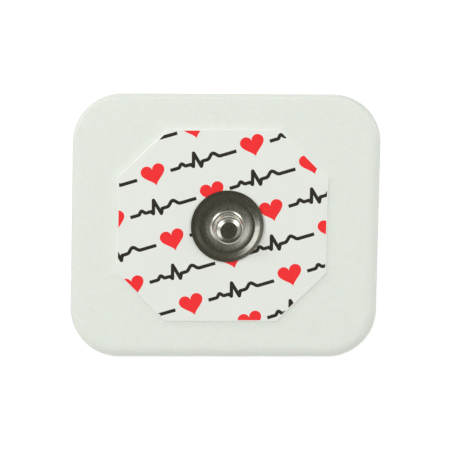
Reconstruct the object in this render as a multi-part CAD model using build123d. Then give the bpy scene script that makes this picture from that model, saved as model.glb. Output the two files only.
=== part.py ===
from build123d import *
import math
import os

# A single-use chest electrode with a snap stud, as it lies on its release liner.
# Millimetres, +Z up. +X runs along the pad's long side. The origin is the centre of the
# pad's outline, on the face that the liner rests on.

# Foam pad, die cut, with a round gel well through it
pad_length = 40.0
pad_width = 35.0
pad_corner_radius = 6.35
foam_thickness = 1.6
pad_edge_roll = 0.35
well_diameter = 18.0

# Release liner, cut flush with the pad
liner_thickness = 0.1

# Printed label, an octagon stuck a little off the middle of the pad
label_length = 27.5
label_width = 25.6
label_corner_cut = 6.45
label_thickness = 0.2
label_shift_x = -0.5
label_shift_y = 0.3
label_hole_clearance = 0.1

# Place of the snap: the stud, the eyelet, the well and the gel share this axis
snap_x = 0.12
snap_y = 0.29

# Stud flange, outside to inside: flat rim, slope up to a ledge, ledge, cone
flange_diameter = 9.5
stud_sheet = 0.25
rim_width = 0.55
rim_slope_run = 0.58
ledge_rise = 0.1
ledge_width = 0.32
cone_rise = 0.2

# Stud head, from the cone up: waist, undercut, straight land, sloped crown (degrees), flat top
head_diameter = 3.95
snap_undercut = 0.36
waist_length = 0.03
undercut_height = 0.28
head_land = 0.34
crown_slope = 24
head_flat_diameter = 2.25

# Bends of the drawn sheet, from the rim in, each measured on the inside of the bend
rim_bend = 0.8
ledge_bend = 0.5
cone_bend = 1.5
foot_bend = 0.85
waist_bend = 0.2
shoulder_bend = 0.1
crown_bend = 0.5
flat_bend = 0.05

# Sensor eyelet: flange under the label, post up into the stud's hollow
eyelet_flange_diameter = 9.0
eyelet_flange_thickness = 0.6
eyelet_edge_taper = 0.2
post_clearance = 0.05

# Gel plug in the well, round the eyelet's flange
gel_wall_gap = 0.1
gel_eyelet_gap = 0.1

# Heights of the stack, from the resting face up
foam_bottom = liner_thickness
foam_top = foam_bottom + foam_thickness
label_top = foam_top + label_thickness

# Radii and heights that follow for the stud, with heights above the label's top
flange_radius = flange_diameter / 2
head_radius = head_diameter / 2
head_flat_radius = head_flat_diameter / 2
waist_radius = head_radius - snap_undercut
rim_inner_radius = flange_radius - rim_width
ledge_outer_radius = rim_inner_radius - rim_slope_run
ledge_inner_radius = ledge_outer_radius - ledge_width
ledge_top = stud_sheet + ledge_rise
cone_top = ledge_top + cone_rise
undercut_reach = math.tan(math.atan2(snap_undercut, undercut_height) / 2)
waist_top = cone_top + foot_bend + waist_length + waist_bend * undercut_reach
undercut_top = waist_top + undercut_height
land_bottom = undercut_top + (shoulder_bend + stud_sheet) * undercut_reach
land_top = land_bottom + head_land
crown_corner = land_top + (crown_bend + stud_sheet) * math.tan(math.radians(90 - crown_slope) / 2)
head_top = crown_corner + (head_radius - head_flat_radius) * math.tan(math.radians(crown_slope))
post_radius = waist_radius - stud_sheet - post_clearance

# Corners of the stud's outer face in section, (radius, height), from the rim in to the axis
stud_corners = [
    (flange_radius, stud_sheet),
    (rim_inner_radius, stud_sheet),
    (ledge_outer_radius, ledge_top),
    (ledge_inner_radius, ledge_top),
    (waist_radius, cone_top),
    (waist_radius, waist_top),
    (head_radius, undercut_top),
    (head_radius, crown_corner),
    (head_flat_radius, head_top),
    (0, head_top),
]


def pad_outline():
    """Rounded rectangle that the foam and the liner share."""
    return RectangleRounded(pad_length, pad_width, pad_corner_radius)


def make_release_liner():
    return extrude(pad_outline(), amount=liner_thickness)


def make_foam_pad():
    """Foam with its top edge rolled over by the die, and the gel well through it."""
    block = extrude(Pos(0, 0, foam_bottom) * pad_outline(), amount=foam_thickness)
    block = fillet(block.edges().group_by(Axis.Z)[-1], pad_edge_roll)
    well = Pos(snap_x, snap_y, foam_bottom) * extrude(Circle(well_diameter / 2), amount=foam_thickness)
    return block - well


def make_label():
    """Octagonal film with a hole that the eyelet's post passes through."""
    rectangle = Rectangle(label_length, label_width)
    octagon = chamfer(rectangle.vertices(), label_corner_cut)
    film = extrude(Pos(label_shift_x, label_shift_y, foam_top) * octagon, amount=label_thickness)
    hole_radius = post_radius + label_hole_clearance
    hole = Pos(snap_x, snap_y, foam_top) * extrude(Circle(hole_radius), amount=label_thickness)
    return film - hole


def parallel_corners(corners, depth):
    """Corners of the line that runs `depth` inside the line through `corners`."""
    points = [Vector(*corner) for corner in corners]
    normals = [(b - a).normalized().rotate(Axis.Z, 90) for a, b in zip(points, points[1:])]
    moved = [points[0] + normals[0] * depth]
    for point, before, after in zip(points[1:], normals, normals[1:]):
        moved.append(point + (before + after) * (depth / (1 + before.dot(after))))
    return moved + [points[-1] + normals[-1] * depth]


def make_snap_stud():
    """Drawn sheet in section, bent all along its outer face, turned about the snap's axis."""
    outer_bends = [
        rim_bend,
        ledge_bend + stud_sheet,
        cone_bend,
        foot_bend,
        waist_bend,
        shoulder_bend + stud_sheet,
        crown_bend + stud_sheet,
        flat_bend + stud_sheet,
    ]
    inner_bends = [0, 0, 0, foot_bend + stud_sheet, 0, 0, crown_bend, 0]
    outer = FilletPolyline(*stud_corners, radius=outer_bends)
    inner = FilletPolyline(*parallel_corners(stud_corners, stud_sheet), radius=inner_bends)
    rim_edge = Line(inner @ 0, outer @ 0)
    axis_edge = Line(outer @ 1, inner @ 1)
    section = make_face(outer + inner + rim_edge + axis_edge)
    stud = revolve(Plane.XZ * section, Axis.Z)
    return Pos(snap_x, snap_y, label_top) * stud


def make_sensor_eyelet():
    """Flange under the label and a post that swells inside the head and meets its ceiling."""
    hollow = parallel_corners(stud_corners, stud_sheet + post_clearance)
    post_neck, post_swell, post_top = hollow[5], hollow[6], hollow[8]
    ceiling = head_top - stud_sheet
    flange_top = -label_thickness
    flange_bottom = flange_top - eyelet_flange_thickness
    flange_edge = eyelet_flange_diameter / 2
    outline = Polyline(
        (0, flange_bottom),
        (flange_edge - eyelet_edge_taper, flange_bottom),
        (flange_edge, flange_bottom + eyelet_edge_taper),
        (flange_edge, flange_top),
        (post_neck.X, flange_top),
        (post_neck.X, post_neck.Y),
        (post_swell.X, post_swell.Y),
        (post_swell.X, land_top),
        (post_top.X, ceiling),
        (0, ceiling),
        close=True,
    )
    eyelet = revolve(Plane.XZ * make_face(outline), Axis.Z)
    return Pos(snap_x, snap_y, label_top) * eyelet


def make_conductive_gel():
    """Gel plug between liner and label, with a pocket for the eyelet's flange."""
    plug = extrude(Circle(well_diameter / 2 - gel_wall_gap), amount=foam_thickness)
    pocket_radius = eyelet_flange_diameter / 2 + gel_eyelet_gap
    pocket_floor = foam_thickness - eyelet_flange_thickness
    pocket = Pos(0, 0, pocket_floor) * extrude(Circle(pocket_radius), amount=eyelet_flange_thickness)
    return Pos(snap_x, snap_y, foam_bottom) * (plug - pocket)


def write_parts():
    os.makedirs("parts", exist_ok=True)
    nodes = {
        "release_liner": make_release_liner(),
        "foam_pad": make_foam_pad(),
        "conductive_gel": make_conductive_gel(),
        "sensor_eyelet": make_sensor_eyelet(),
        "label": make_label(),
        "snap_stud": make_snap_stud(),
    }
    for name, solid in nodes.items():
        export_step(solid, os.path.join("parts", name + ".step"))


write_parts()
print("land centre above the resting face", round(label_top + (land_bottom + land_top) / 2, 4))
print("overall height", round(label_top + head_top, 4))
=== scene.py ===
import math

import bmesh
import bpy
from mathutils import Matrix, Vector, noise


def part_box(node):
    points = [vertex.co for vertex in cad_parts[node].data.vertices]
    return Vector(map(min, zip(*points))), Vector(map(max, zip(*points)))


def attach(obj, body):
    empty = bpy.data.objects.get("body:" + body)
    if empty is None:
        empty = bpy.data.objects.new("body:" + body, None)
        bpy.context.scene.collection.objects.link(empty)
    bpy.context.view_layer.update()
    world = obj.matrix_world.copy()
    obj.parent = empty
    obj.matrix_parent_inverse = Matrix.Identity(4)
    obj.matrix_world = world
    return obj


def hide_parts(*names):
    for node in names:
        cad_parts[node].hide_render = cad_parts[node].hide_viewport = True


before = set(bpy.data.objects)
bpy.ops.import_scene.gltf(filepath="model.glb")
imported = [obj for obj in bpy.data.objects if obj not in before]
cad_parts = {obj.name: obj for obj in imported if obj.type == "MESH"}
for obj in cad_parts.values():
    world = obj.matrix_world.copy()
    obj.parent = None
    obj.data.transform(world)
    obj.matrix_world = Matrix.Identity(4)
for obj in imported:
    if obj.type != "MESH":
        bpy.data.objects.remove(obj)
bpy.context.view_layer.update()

MM = 0.001


def middle(low, high):
    """Centre of a box, on the plane that the part rests on."""
    return Vector(((low.x + high.x) / 2, (low.y + high.y) / 2, 0))


# Where the pieces lie, from the frame
pad_low, pad_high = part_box("foam_pad")
label_low, label_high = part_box("label")
stud_low, stud_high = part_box("snap_stud")
gel_low, gel_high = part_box("conductive_gel")
liner_low, liner_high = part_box("release_liner")
pad_centre = middle(pad_low, pad_high)
label_centre = middle(label_low, label_high)
snap = middle(stud_low, stud_high)
pad_half = (pad_high - pad_low) / 2
label_half = (label_high - label_low) / 2
gel_radius = (gel_high.x - gel_low.x) / 2

# Sizes that the frame's boxes don't give, as in the part
pad_corner_radius = 6.35 * MM
label_corner_cut = 6.45 * MM
label_hole_radius = 1.415 * MM
eyelet_flange_radius = 4.5 * MM
eyelet_flange_height = 0.6 * MM
gel_gap = 0.1 * MM
well_radius = gel_radius + gel_gap
pocket_radius = eyelet_flange_radius + gel_gap

# Hairlines left between pieces that touch, so that their faces don't coincide
hairline = 0.004 * MM
foam_lift = 0.005 * MM
gel_lift = 0.012 * MM

# Spacing of the points on the outlines, and counts of points on the circles
foam_step = 0.2 * MM
label_step = 0.5 * MM
liner_step = 0.6 * MM
gel_points = 96
floor_points = 64

# Faces that meet at more than this angle meet in a crease
crease_angle = math.radians(40)

# Foam surface: it droops toward the cut edge, most at the near right corner, and rises in a skirt
# round the label. The cut wall leans in toward the top
droop_width = 1.7 * MM
droop_depth = 0.18 * MM
droop_least = 0.1
droop_to_right = 0.6
droop_to_front = 0.85
cut_edge_radius = 0.14 * MM
wall_lean = 0.12 * MM
skirt_width = 1.1 * MM
skirt_rise = 0.11 * MM
skirt_tuck = 0.02 * MM

# The photo's pad is this much narrower than the CAD's at each long side
long_side_shrink = 0.11 * MM

# Unevenness of the foam: the width of its slow and quick waves, how far they move it, and the
# seed that makes it the same in each run
foam_waves = ((2.6 * MM, 0.016 * MM), (0.7 * MM, 0.008 * MM))
foam_seed = 4

# Edges of the films and the gel. The label's rounds off over a width, and down a depth
film_edge_width = 0.22 * MM
film_edge_depth = 0.08 * MM
liner_edge = 0.02 * MM
gel_rim = 0.15 * MM

# Fine form of the stud's flange: the cone is dished, and the rim falls a hair to its edge
cone_dish = 0.024 * MM
rim_fall = 0.030 * MM
rim_start = 4.15 * MM
rim_end = 4.75 * MM

# Print on the label, in tilted rows
trace_half_width = 0.225 * MM
heart_height = 2.85 * MM
ink_thickness = 0.006 * MM
print_column = 13.4 * MM
print_row = 4.5 * MM
print_turn = Matrix.Rotation(math.radians(17), 3, "Z")

# Camera, as the photograph shows the pad
camera_place = Vector((-0.018 * MM, 0.001 * MM, 0.646))
camera_pitch = math.radians(12.22)
camera_lean = math.radians(4.49)
camera_roll = math.radians(-0.17)
focal_px = 4961
frame_px = 450
sensor_width_mm = 36.0

# Lights: three softboxes over the pad and a small one below. The steel mirrors soft images of
# two of them, two pale cards and the dark gap round the lens
lamp_distance = 0.6
left_box_way = Vector((-0.575, 0.380, 0.725))
low_box_way = Vector((-0.700, 0.460, 0.545))
right_box_way = Vector((0.624, 0.417, 0.660))
below_way = Vector((0, 0, -1))
right_card_way = Vector((0.36, -0.33, 0.875))
left_card_way = Vector((-0.59, -0.44, 0.675))
gap_way = Vector((0.078, -0.21, 0.974))

# Floor, a hair under the part
floor_radius = 3.0
floor_height = -0.02 * MM


# Meshes

def place_mesh(name, bm):
    """Object from a finished mesh: normals outward, smooth but for its creases."""
    bmesh.ops.recalc_face_normals(bm, faces=bm.faces)
    mesh = bpy.data.meshes.new(name)
    bm.to_mesh(mesh)
    bm.free()
    mesh.shade_smooth()
    mesh.set_sharp_from_angle(angle=crease_angle)
    piece = bpy.data.objects.new(name, mesh)
    bpy.context.scene.collection.objects.link(piece)
    return piece


def loft(name, rings, capped):
    """Object through rings of equal count: with capped ends, or closed into a tube ring."""
    bm = bmesh.new()
    lines = [[bm.verts.new(point) for point in ring] for ring in rings]
    following = lines[1:] if capped else lines[1:] + lines[:1]
    for a, b in zip(lines, following):
        for k in range(len(a)):
            bm.faces.new((a[k - 1], a[k], b[k], b[k - 1]))
    if capped:
        bm.faces.new(lines[0][::-1])
        bm.faces.new(lines[-1])
    return place_mesh(name, bm)


def shares(count):
    """Even shares of a way, from its first step to the whole."""
    return [k / count for k in range(1, count + 1)]


def arc_steps(count):
    """Angles of a quarter turn, from 0 to 90 degrees."""
    return [math.pi / 2 * k / count for k in range(count + 1)]


def morph(ring_a, ring_b, share):
    return [a.lerp(b, share) for a, b in zip(ring_a, ring_b)]


def bridge(ring_a, ring_b, count):
    """Rings on the way from one ring to another, with the last and without the first."""
    return [morph(ring_a, ring_b, share) for share in shares(count)]


def left_normal(a, b):
    """Unit vector to the left of the way from `a` to `b`."""
    along = (b - a).normalized()
    return Vector((-along.y, along.x, 0))


def even_ring(centre, radius, z, count):
    """Points at even angles on a circle."""
    angles = [math.tau * k / count for k in range(count)]
    return [centre + Vector((radius * math.cos(a), radius * math.sin(a), z)) for a in angles]


def snap_ring(guide, radius, z):
    """Points on a circle round the snap's axis, each in the direction of its guide point."""
    ring = []
    for point in guide:
        way = Vector((point.x - snap.x, point.y - snap.y, 0)).normalized()
        ring.append(snap + way * radius + Vector((0, 0, z)))
    return ring


# Outlines as stations: a base point and the outward direction, so that an inset ring is exact

def pad_stations(step):
    """Stations round the pad's rounded rectangle, corner arcs and straight sides alike."""
    x = pad_half.x - pad_corner_radius
    y = pad_half.y - pad_corner_radius - long_side_shrink
    corners = [Vector((x, y, 0)), Vector((-x, y, 0)), Vector((-x, -y, 0)), Vector((x, -y, 0))]
    arc_count = round(math.pi / 2 * pad_corner_radius / step)
    stations = []
    for c, (start, end) in enumerate(zip(corners, corners[1:] + corners[:1])):
        for k in range(arc_count + 1):
            angle = math.pi / 2 * (c + k / arc_count)
            stations.append((start, Vector((math.cos(angle), math.sin(angle), 0))))
        side_count = round((end - start).length / step)
        for share in shares(side_count)[:-1]:
            stations.append((start.lerp(end, share), stations[-1][1]))
    return stations


def pad_ring(stations, inset, z, droop=0):
    """Ring inside the pad's outline; `droop` lowers it, most at the near right corner."""
    ring = []
    for base, out in stations:
        share = max(droop_least, 1 + droop_to_right * out.x - droop_to_front * out.y)
        height = Vector((0, 0, z - droop * share))
        ring.append(pad_centre + base + out * (pad_corner_radius - inset) + height)
    return ring


def octagon_stations(step):
    """Stations round the label: corner points with their mitre, and points along each side."""
    x, y, cut = label_half.x, label_half.y, label_corner_cut
    corners = [(x, y - cut), (x - cut, y), (cut - x, y), (-x, y - cut)]
    corners += [(-a, -b) for a, b in corners]
    points = [Vector((*corner, 0)) for corner in corners]
    sides = list(zip(points, points[1:] + points[:1]))
    normals = [-left_normal(a, b) for a, b in sides]
    stations = []
    for k, (a, b) in enumerate(sides):
        before, here = normals[k - 1], normals[k]
        stations.append((a, (before + here) / (1 + before.dot(here))))
        side_count = round((b - a).length / step)
        for share in shares(side_count)[:-1]:
            stations.append((a.lerp(b, share), here))
    return stations


def octagon_ring(stations, inset, z):
    centre = label_centre + Vector((0, 0, z))
    return [centre + base - out * inset for base, out in stations]


def octagon_radius(angle, outset):
    """Distance from the label's centre to its outline, moved out by `outset`, in one direction."""
    x, y = label_half.x, label_half.y
    cut = (x + y - label_corner_cut) / math.sqrt(2)
    reach = []
    for side in range(8):
        facing = math.cos(angle - side * math.pi / 4)
        if facing > 0:
            reach.append(((x, cut, y, cut)[side % 4] + outset) / facing)
    return min(reach)


def label_ring(guide, outset, z):
    """Points on the label's moved outline, each in the direction of its guide point."""
    ring = []
    for point in guide:
        angle = math.atan2(point.y - label_centre.y, point.x - label_centre.x)
        radius = octagon_radius(angle, outset)
        ring.append(label_centre + Vector((radius * math.cos(angle), radius * math.sin(angle), z)))
    return ring


# Soft pieces

def foam_drift(point):
    """How far the foam's unevenness moves a point of its top."""
    waves = [noise.noise_vector(point / width) * depth for width, depth in foam_waves]
    return sum(waves, Vector())


def make_foam():
    """Foam pad with a drooping edge, a cut wall, a skirt round the label, and the well."""
    stations = pad_stations(foam_step)
    top, bottom = pad_high.z, pad_low.z + foam_lift
    wall_top = top - cut_edge_radius
    rings = [pad_ring(stations, 0, bottom)]
    for share in shares(5)[:-1]:
        z = bottom + (wall_top - bottom) * share
        rings.append(pad_ring(stations, wall_lean * share, z, droop_depth * share))
    for angle in arc_steps(5):
        inset = wall_lean + cut_edge_radius * (1 - math.cos(angle))
        z = wall_top + cut_edge_radius * math.sin(angle)
        rings.append(pad_ring(stations, inset, z, droop_depth))
    rolled = wall_lean + cut_edge_radius
    for share in shares(10):
        inset = rolled + (droop_width - rolled) * share
        rings.append(pad_ring(stations, inset, top, droop_depth * (1 - share) ** 2))
    flat = rings[-1]
    rings += bridge(flat, label_ring(flat, skirt_width, top), 14)
    for share in shares(8):
        rings.append(label_ring(flat, skirt_width * (1 - share), top + skirt_rise * share ** 2))
    under_label = label_ring(flat, -skirt_tuck, top)
    well_top = snap_ring(flat, well_radius, top)
    well_bottom = snap_ring(flat, well_radius, bottom)
    rings.append(under_label)
    rings += bridge(under_label, well_top, 5)
    rings += bridge(well_top, well_bottom, 3)
    rings += bridge(well_bottom, rings[0], 12)[:-1]
    height = top - bottom
    noise.seed_set(foam_seed)
    moved = [[p + foam_drift(p) * ((p.z - bottom) / height) for p in ring] for ring in rings]
    foam = loft("foam", moved, capped=False)
    return foam


def make_label():
    """Film with a softly rounded cut edge, and the hole that the post passes through."""
    stations = octagon_stations(label_step)
    top, bottom = label_high.z, label_low.z + hairline
    rings = [octagon_ring(stations, 0, bottom)]
    for angle in arc_steps(8):
        inset = film_edge_width * (1 - math.cos(angle))
        rings.append(octagon_ring(stations, inset, top - film_edge_depth * (1 - math.sin(angle))))
    rim = rings[-1]
    rings += bridge(rim, snap_ring(rim, label_hole_radius, top), 14)
    rings.append(snap_ring(rim, label_hole_radius, bottom))
    return loft("label_film", rings, capped=False)


def make_gel():
    """Gel plug with rounded rims and a pocket for the eyelet's flange."""
    low, high = gel_low.z + gel_lift, gel_high.z - hairline
    rim_centre = gel_radius - gel_rim
    sweep = [(gel_rim * math.sin(angle), gel_rim * math.cos(angle)) for angle in arc_steps(4)]
    profile = [(rim_centre + out, low + gel_rim - down) for out, down in sweep]
    profile += [(rim_centre + out, high - gel_rim + up) for up, out in sweep]
    profile += [(pocket_radius + gel_rim, high), (pocket_radius, high - gel_rim)]
    profile.append((pocket_radius, high - eyelet_flange_height))
    rings = [even_ring(snap, radius, z, gel_points) for radius, z in profile]
    return loft("gel_plug", rings, capped=True)


def make_liner():
    """Clear film, a hair under the foam, with a cut edge."""
    stations = pad_stations(liner_step)
    low, high = liner_low.z, liner_high.z - hairline
    rings = [
        pad_ring(stations, liner_edge, low),
        pad_ring(stations, 0, low + liner_edge),
        pad_ring(stations, 0, high - liner_edge),
        pad_ring(stations, liner_edge, high),
    ]
    return loft("liner_film", rings, capped=True)


# Print: heart pulse traces and hearts, in tilted rows, cut off at the label's edge

def stroke_outline(line, half_width):
    """Outline of a stroke of even width: mitred inside each turn, round outside a sharp one."""
    # A turn is gentle where the normals before and after it agree this closely
    gentle = 0.9
    normals = [left_normal(a, b) for a, b in zip(line, line[1:])]
    left, right = [], []
    for point, n1, n2 in zip(line, normals[:1] + normals, normals + normals[-1:]):
        mitre = (n1 + n2) / (1 + n1.dot(n2)) * half_width
        if n1.dot(n2) > gentle:
            left.append(point + mitre)
            right.append(point - mitre)
            continue
        turn = n1.cross(n2).z
        fan = [n1.slerp(n2, share) * half_width for share in [0] + shares(6)]
        left += [point + mitre] if turn > 0 else [point + f for f in fan]
        right += [point - mitre] if turn < 0 else [point - f for f in fan]
    return left + right[::-1]


def pulse_line():
    """One heartbeat, drawn in millimetres: a small wave, the sharp spike and a broad wave."""

    def wave(start, width, height):
        steps = shares(8)[:-1]
        return [(start + width * share, height * math.sin(math.pi * share) ** 2) for share in steps]

    points = [(-4.45, 0), (-3.35, 0)] + wave(-3.35, 1.0, 0.42) + [(-2.35, 0), (-1.7, 0)]
    points += [(-1.45, -0.35), (-0.95, 1.35), (-0.45, -0.62), (-0.15, 0), (0.55, 0)]
    points += wave(0.55, 1.7, 0.62) + [(2.25, 0), (4.45, 0)]
    return [Vector((x * MM, y * MM, 0)) for x, y in points]


def heart_outline():
    """Heart curve, which is 29 units tall with its middle at -2.5 before it is scaled."""
    curve_height, curve_middle, count = 29, -2.5, 48
    outline = []
    for k in range(count):
        t = math.tau * k / count
        x = 16 * math.sin(t) ** 3
        y = 13 * math.cos(t) - 5 * math.cos(2 * t) - 2 * math.cos(3 * t) - math.cos(4 * t)
        outline.append(Vector((x, y - curve_middle, 0)) * (heart_height / curve_height))
    return outline


def print_places():
    """Places of the marks, enough to cover the label: every other row is shifted by half."""
    places = []
    for row in range(-5, 6):
        shift = 0.5 if row % 2 else 0
        for column in range(-3, 4):
            along = (column + shift) * print_column
            places.append(label_centre + print_turn @ Vector((along, row * print_row, 0)))
    return places


def ink_piece(name, outlines):
    """Flat marks cut off at the label's edge, with the thickness of ink."""
    bm = bmesh.new()
    for outline in outlines:
        face = bm.faces.new([bm.verts.new(p) for p in outline])
        if face.normal.z < 0:
            face.normal_flip()
    bmesh.ops.triangulate(bm, faces=bm.faces)
    for side in range(1, 9):
        angle = side * math.pi / 4
        out = Vector((math.cos(angle), math.sin(angle), 0))
        edge = label_centre + out * octagon_radius(angle, -film_edge_width)
        everything = bm.verts[:] + bm.edges[:] + bm.faces[:]
        bmesh.ops.bisect_plane(bm, geom=everything, plane_co=edge, plane_no=out, clear_outer=True)
    grown = bmesh.ops.extrude_face_region(bm, geom=bm.faces[:])
    lifted = [v for v in grown["geom"] if isinstance(v, bmesh.types.BMVert)]
    bmesh.ops.translate(bm, verts=lifted, vec=(0, 0, ink_thickness))
    bmesh.ops.translate(bm, verts=bm.verts, vec=(0, 0, label_high.z))
    return place_mesh(name, bm)


def make_print():
    """Traces, and a heart halfway between each two of a row."""
    trace = [print_turn @ p for p in stroke_outline(pulse_line(), trace_half_width)]
    heart = [print_turn @ p for p in heart_outline()]
    beside = print_turn @ Vector((print_column / 2, 0, 0))
    places = print_places()
    traces = ink_piece("print_pulse", [[p + place for p in trace] for place in places])
    hearts = ink_piece("print_heart", [[p + place + beside for p in heart] for place in places])
    return traces, hearts


# Materials

def grey(level):
    return (level, level, level)


class Nodes:
    """Short hand for building one node tree."""

    def __init__(self, tree):
        self.tree = tree

    def put(self, value, socket):
        """Link a socket to another one, or set it to a plain value."""
        if isinstance(value, bpy.types.NodeSocket):
            self.tree.links.new(value, socket)
        else:
            socket.default_value = value

    def add(self, kind, *inputs, **values):
        """New node: inputs in the order of its sockets, values by the name of setting or socket."""
        node = self.tree.nodes.new(kind)
        for key, value in values.items():
            if hasattr(node, key):
                setattr(node, key, value)
            else:
                self.put(value, node.inputs[key])
        for value, socket in zip(inputs, node.inputs):
            self.put(value, socket)
        return node

    def set(self, **values):
        """Values of the material's own shader."""
        for key, value in values.items():
            self.put(value, self.shader.inputs[key.replace("_", " ")])

    def place(self):
        return self.add("ShaderNodeTexCoord").outputs["Object"]

    def noise(self, size, detail=3.0, roughness=0.5, place=None):
        node = self.add("ShaderNodeTexNoise", Scale=1 / size, Detail=detail, Roughness=roughness)
        self.put(place or self.place(), node.inputs["Vector"])
        return node.outputs["Fac"]

    def cells(self, size):
        node = self.add("ShaderNodeTexVoronoi", feature="SMOOTH_F1", Scale=1 / size)
        self.put(self.place(), node.inputs["Vector"])
        return node.outputs["Distance"]

    def colours(self, value, stops, eased=False):
        """Colour that runs from stop to stop, given as (share, colour)."""
        ramp = self.add("ShaderNodeValToRGB", value)
        ramp.color_ramp.interpolation = "EASE" if eased else "LINEAR"
        elements = ramp.color_ramp.elements
        for k, (position, colour) in enumerate(stops):
            element = elements[k] if k < 2 else elements.new(position)
            element.position = position
            element.color = (*colour, 1)
        return ramp.outputs["Color"]

    def greys(self, value, stops, eased=False):
        """Level that runs from stop to stop, given as (share, level)."""
        return self.colours(value, [(share, grey(level)) for share, level in stops], eased)

    def levels(self, length, stops, eased=False):
        """Level that runs from stop to stop, given as (millimetres, level)."""
        reach = stops[-1][0]
        share = self.range(length, 0, 1, end=reach * MM)
        return self.greys(share, [(place / reach, level) for place, level in stops], eased)

    def mottle(self, size, detail, dark, light, start=0.3):
        """Colour that wanders between two tones."""
        return self.colours(self.noise(size, detail), [(start, dark), (0.7, light)])

    def blend(self, how, first, second, share=1):
        node = self.add("ShaderNodeMix", data_type="RGBA", blend_type=how, Factor=share)
        self.put(first, node.inputs["A"])
        self.put(second, node.inputs["B"])
        return node.outputs["Result"]

    def range(self, value, low, high, start=0, end=1):
        """Level that goes from low to high while the value goes from start to end."""
        return self.add("ShaderNodeMapRange", value, start, end, low, high).outputs["Result"]

    def plus(self, first, second, clamp=False):
        node = self.add("ShaderNodeMath", first, second, operation="ADD", use_clamp=clamp)
        return node.outputs["Value"]

    def bump(self, height, depth, below=None):
        """Bump of a given depth, on top of the one below."""
        node = self.add("ShaderNodeBump", Strength=1, Distance=depth, Height=height)
        if below:
            self.put(below, node.inputs["Normal"])
        return node.outputs["Normal"]


def new_material(name):
    material = bpy.data.materials.new(name)
    material.use_nodes = True
    n = Nodes(material.node_tree)
    n.material = material
    n.shader = n.tree.nodes["Principled BSDF"]
    return n


def foam_material():
    """Matt closed-cell foam, with painted shade where it tilts from flat: on its edge and cut wall.
    """
    # Painted shade: share of the foam's tone left where its surface stands upright, as on the cut
    # wall
    painted_wall_shade = 0.89
    n = new_material("foam_white")
    normal = n.add("ShaderNodeTexCoord").outputs["Normal"]
    slope = n.add("ShaderNodeSeparateXYZ", normal).outputs["Z"]
    upright = n.add("ShaderNodeMath", slope, operation="ABSOLUTE").outputs["Value"]
    # Painted shade: the tone darkens as the surface tilts from flat, over the drooping and rounded
    # edge
    painted_edge_shade = n.range(upright, painted_wall_shade, 1, start=0.75, end=0.99)
    tone = n.mottle(0.5 * MM, 4, (0.745, 0.782, 0.715), (0.775, 0.807, 0.745))
    cells = n.bump(n.cells(0.16 * MM), 0.010 * MM)
    n.set(
        Base_Color=n.blend("MULTIPLY", tone, painted_edge_shade),
        Roughness=0.9,
        Specular_IOR_Level=0.25,
        Subsurface_Weight=0.12,
        Subsurface_Scale=0.1 * MM,
        Normal=n.bump(n.noise(0.35 * MM, detail=5, roughness=0.6), 0.02 * MM, below=cells),
    )
    return n.material


def label_material():
    n = new_material("label_film_white")
    wavy = n.bump(n.noise(4 * MM, detail=1), 0.05 * MM)
    n.set(
        Base_Color=n.mottle(3 * MM, 2, (0.796, 0.820, 0.764), (0.811, 0.833, 0.779)),
        Roughness=n.range(n.noise(1.2 * MM), 0.36, 0.46),
        Specular_IOR_Level=0.5,
        Normal=n.bump(n.noise(0.12 * MM), 0.0015 * MM, below=wavy),
    )
    return n.material


def ink_material(name, dark, light):
    n = new_material(name)
    n.set(
        Base_Color=n.mottle(0.25 * MM, 4, dark, light, start=0.35),
        Roughness=n.range(n.noise(0.6 * MM), 0.38, 0.5),
        Specular_IOR_Level=0.3,
        Normal=n.bump(n.noise(0.1 * MM), 0.001 * MM),
    )
    return n.material


def snap_section(n):
    """Distance from the snap's axis, and a point in the turned section: radius and height."""
    shifted = n.add("ShaderNodeVectorMath", n.place(), snap, operation="SUBTRACT")
    apart = n.add("ShaderNodeSeparateXYZ", shifted.outputs["Vector"]).outputs
    flat = n.add("ShaderNodeCombineXYZ", apart["X"], apart["Y"]).outputs["Vector"]
    radius = n.add("ShaderNodeVectorMath", flat, operation="LENGTH").outputs["Value"]
    section = n.add("ShaderNodeCombineXYZ", radius, apart["Z"]).outputs["Vector"]
    return radius, section


def steel_material():
    """Drawn stainless: a bright head, a satin flange and fine rings round the snap's axis."""
    n = new_material("stud_steel")
    radius, section = snap_section(n)
    head = [(0, 0.14), (1.0, 0.17), (1.4, 0.22), (2.0, 0.19)]
    flange = [(2.4, 0.28), (2.8, 0.27), (3.4, 0.16)]
    polish = n.levels(radius, head + flange)
    patches = n.range(n.noise(0.5 * MM, detail=4), -0.04, 0.04)
    dish = n.levels(radius, [(0, 1), (2.25, 1), (2.85, 0), (3.4, 1)], eased=True)
    cone = n.bump(dish, cone_dish)
    rim = n.bump(n.range(radius, 1, 0, start=rim_start, end=rim_end), rim_fall, below=cone)
    turned = n.bump(n.noise(0.09 * MM, place=section), 0.0012 * MM, below=rim)
    n.set(
        Base_Color=n.mottle(0.8 * MM, 4, (0.56, 0.551, 0.492), (0.64, 0.629, 0.562)),
        Metallic=1.0,
        Roughness=n.plus(polish, patches),
        Normal=n.bump(n.noise(0.15 * MM), 0.0008 * MM, below=turned),
    )
    return n.material


def eyelet_material():
    n = new_material("eyelet_silver_chloride")
    n.set(
        Base_Color=n.mottle(0.4 * MM, 5, (0.36, 0.35, 0.34), (0.50, 0.48, 0.45)),
        Metallic=0.35,
        Roughness=0.55,
        Normal=n.bump(n.noise(0.08 * MM), 0.004 * MM),
    )
    return n.material


def gel_material():
    n = new_material("gel_cloudy")
    n.set(
        Base_Color=n.mottle(2 * MM, 2, (0.80, 0.88, 0.88), (0.88, 0.93, 0.92)),
        Roughness=0.25,
        IOR=1.36,
        Transmission_Weight=0.75,
        Normal=n.bump(n.noise(1.5 * MM), 0.03 * MM),
    )
    return n.material


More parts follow.
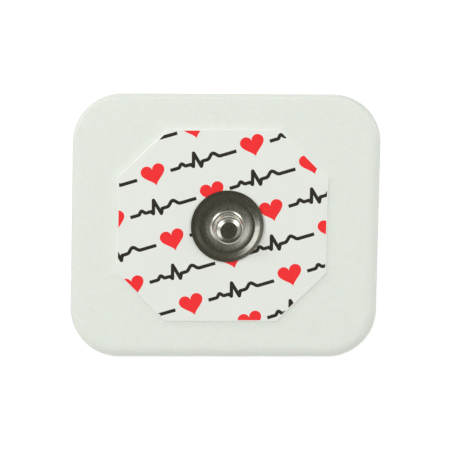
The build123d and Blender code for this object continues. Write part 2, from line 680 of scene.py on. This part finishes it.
def liner_material():
    n = new_material("liner_clear")
    n.set(
        Base_Color=n.mottle(5 * MM, 2, (0.92, 0.94, 0.94), (0.96, 0.97, 0.97)),
        Roughness=n.range(n.noise(2 * MM), 0.08, 0.16),
        IOR=1.45,
        Alpha=0.16,
        Normal=n.bump(n.noise(6 * MM, detail=1), 0.05 * MM),
    )
    return n.material


def dress(piece, material):
    piece.data.materials.clear()
    piece.data.materials.append(material)


# Stage

def seen_rays(n):
    """1 for the camera's own rays, and for the glossy and transmission rays."""
    path = n.add("ShaderNodeLightPath").outputs
    both = n.plus(path["Is Camera Ray"], path["Is Glossy Ray"], clamp=True)
    return n.plus(both, path["Is Transmission Ray"], clamp=True)


def glowing_diffuse(n, albedo, glow):
    """Shader of a diffuse surface with a glow of its own."""
    surface = n.add("ShaderNodeBsdfDiffuse", Color=(*grey(albedo), 1))
    light = n.add("ShaderNodeEmission", Color=(1, 1, 1, 1), Strength=glow)
    both = n.add("ShaderNodeAddShader", surface.outputs["BSDF"], light.outputs["Emission"])
    return both.outputs["Shader"]


def mixed(n, share, first, second):
    return n.add("ShaderNodeMixShader", share, first, second).outputs["Shader"]


def floor_material():
    """Pale floor that shows white and still keeps the object's shadow; clear from below."""
    n = new_material("floor_pale")
    n.tree.nodes.remove(n.shader)
    lit = glowing_diffuse(n, albedo=0.78, glow=0.2)
    shown = glowing_diffuse(n, albedo=0.2, glow=0.86)
    above = mixed(n, seen_rays(n), lit, shown)
    from_below = n.add("ShaderNodeNewGeometry").outputs["Backfacing"]
    clear = n.add("ShaderNodeBsdfTransparent").outputs["BSDF"]
    surface = n.tree.nodes["Material Output"].inputs["Surface"]
    n.put(mixed(n, from_below, above, clear), surface)
    return n.material


def make_floor():
    bm = bmesh.new()
    edge = even_ring(Vector(), floor_radius, floor_height, floor_points)
    bm.faces.new([bm.verts.new(point) for point in edge])
    floor = place_mesh("floor", bm)
    if floor.data.polygons[0].normal.z < 0:
        floor.data.flip_normals()
    dress(floor, floor_material())
    floor.visible_shadow = False


def facing(n, way, stops):
    """Colour by how closely a direction of the world agrees with `way`."""
    turned = n.add("ShaderNodeVectorMath", n.way, way.normalized(), operation="DOT_PRODUCT")
    return n.colours(turned.outputs["Value"], stops)


def dim_tent(n, height):
    """Tent round the object: pale near the floor, dim above it, pale again and dim at the top."""
    dim, pale = (0.080, 0.076, 0.062), (0.24, 0.235, 0.21)
    foot = [(0.0, (0.8, 0.79, 0.77)), (0.09, (0.3, 0.295, 0.28)), (0.2, dim)]
    low = n.colours(height, foot + [(0.50, dim), (0.62, pale)])
    high = n.colours(height, [(0.74, grey(1)), (0.86, (0.37, 0.362, 0.327))])
    return n.blend("MULTIPLY", low, high)


def make_world():
    """White to the camera. Steel mirrors a dim tent, and what stands and hangs in it."""
    world = bpy.data.worlds.new("studio")
    bpy.context.scene.world = world
    world.use_nodes = True
    n = Nodes(world.node_tree)
    n.way = n.add("ShaderNodeTexCoord").outputs["Generated"]
    apart = n.add("ShaderNodeSeparateXYZ", n.way).outputs
    black, white = grey(0), grey(1)
    gap = facing(n, gap_way, [(0.975, white), (0.992, (0.76, 0.74, 0.68))])
    mirrored = n.blend("MULTIPLY", dim_tent(n, apart["Z"]), gap)
    walls = n.greys(apart["Z"], [(0.38, 0), (0.55, 0.40), (0.70, 0.30), (0.84, 0)])
    back = n.range(apart["Y"], 0, 1, start=-0.65, end=-0.3)
    right_card = [(0.967, black), (0.985, (0.2, 0.2, 0.195)), (0.995, grey(1.3))]
    left_card = [(0.90, black), (0.937, (0.25, 0.25, 0.24)), (0.985, grey(1.08))]
    lights = [
        n.blend("MULTIPLY", walls, back),
        facing(n, right_card_way, right_card),
        facing(n, left_card_way, left_card),
        facing(n, left_box_way, [(0.91, black), (0.95, grey(0.4)), (0.985, grey(2.2))]),
        facing(n, right_box_way, [(0.93, black), (0.96, grey(0.4)), (0.987, grey(2.5))]),
    ]
    for light in lights:
        mirrored = n.blend("ADD", mirrored, light)
    unseen = n.blend("MIX", (*grey(0.5), 1), mirrored, share=seen_rays(n))
    camera_ray = n.add("ShaderNodeLightPath").outputs["Is Camera Ray"]
    everything = n.blend("MIX", unseen, (*white, 1), share=camera_ray)
    n.put(everything, n.tree.nodes["Background"].inputs["Color"])


def softbox(name, way, size, power):
    lamp = bpy.data.lights.new(name, "AREA")
    lamp.shape = "ELLIPSE"
    lamp.size, lamp.size_y = size
    lamp.energy = power
    holder = bpy.data.objects.new(name, lamp)
    holder.location = way.normalized() * lamp_distance
    holder.rotation_euler = way.to_track_quat("Z", "Y").to_euler()
    holder.visible_camera = False
    holder.visible_glossy = False
    holder.visible_transmission = False
    bpy.context.scene.collection.objects.link(holder)


def make_lights():
    softbox("softbox_left", left_box_way, size=(0.36, 0.30), power=0.95)
    softbox("softbox_low_left", low_box_way, size=(0.20, 0.20), power=1.05)
    softbox("softbox_right", right_box_way, size=(0.38, 0.30), power=0.95)
    softbox("softbox_below", below_way, size=(0.03, 0.03), power=1.2)


def make_camera():
    """The photograph's view: the pad turned by pitch, lean and roll in front of a fixed camera."""
    turn = Matrix.Rotation(camera_roll, 3, "Z") @ Matrix.Rotation(camera_lean, 3, "Y")
    turn = turn @ Matrix.Rotation(camera_pitch, 3, "X")
    back = turn.transposed()
    lens = bpy.data.cameras.new("camera")
    lens.sensor_width = sensor_width_mm
    lens.lens = focal_px / frame_px * sensor_width_mm
    lens.clip_start, lens.clip_end = 0.05, 10
    camera = bpy.data.objects.new("camera", lens)
    camera.matrix_world = Matrix.Translation(back @ camera_place) @ back.to_4x4()
    bpy.context.scene.collection.objects.link(camera)
    bpy.context.scene.camera = camera


def build():
    root_pieces = {
        "foam_pad": (make_foam(), foam_material(), "foam"),
        "label": (make_label(), label_material(), "label_film"),
        "conductive_gel": (make_gel(), gel_material(), "gel"),
        "release_liner": (make_liner(), liner_material(), "liner_film"),
    }
    for node, (piece, material, slot) in root_pieces.items():
        dress(piece, material)
        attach(piece, "root")
        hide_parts(node)
    traces, hearts = make_print()
    dress(traces, ink_material("ink_black", (0.022, 0.020, 0.014), (0.032, 0.028, 0.021)))
    dress(hearts, ink_material("ink_red", (0.89, 0.026, 0.029), (0.94, 0.035, 0.038)))
    for piece in (traces, hearts):
        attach(piece, "root")
    dress(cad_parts["snap_stud"], steel_material())
    dress(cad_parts["sensor_eyelet"], eyelet_material())


bpy.context.scene.view_settings.view_transform = "Standard"
make_camera()
make_world()
make_lights()
make_floor()
build()
bpy.context.view_layer.update()
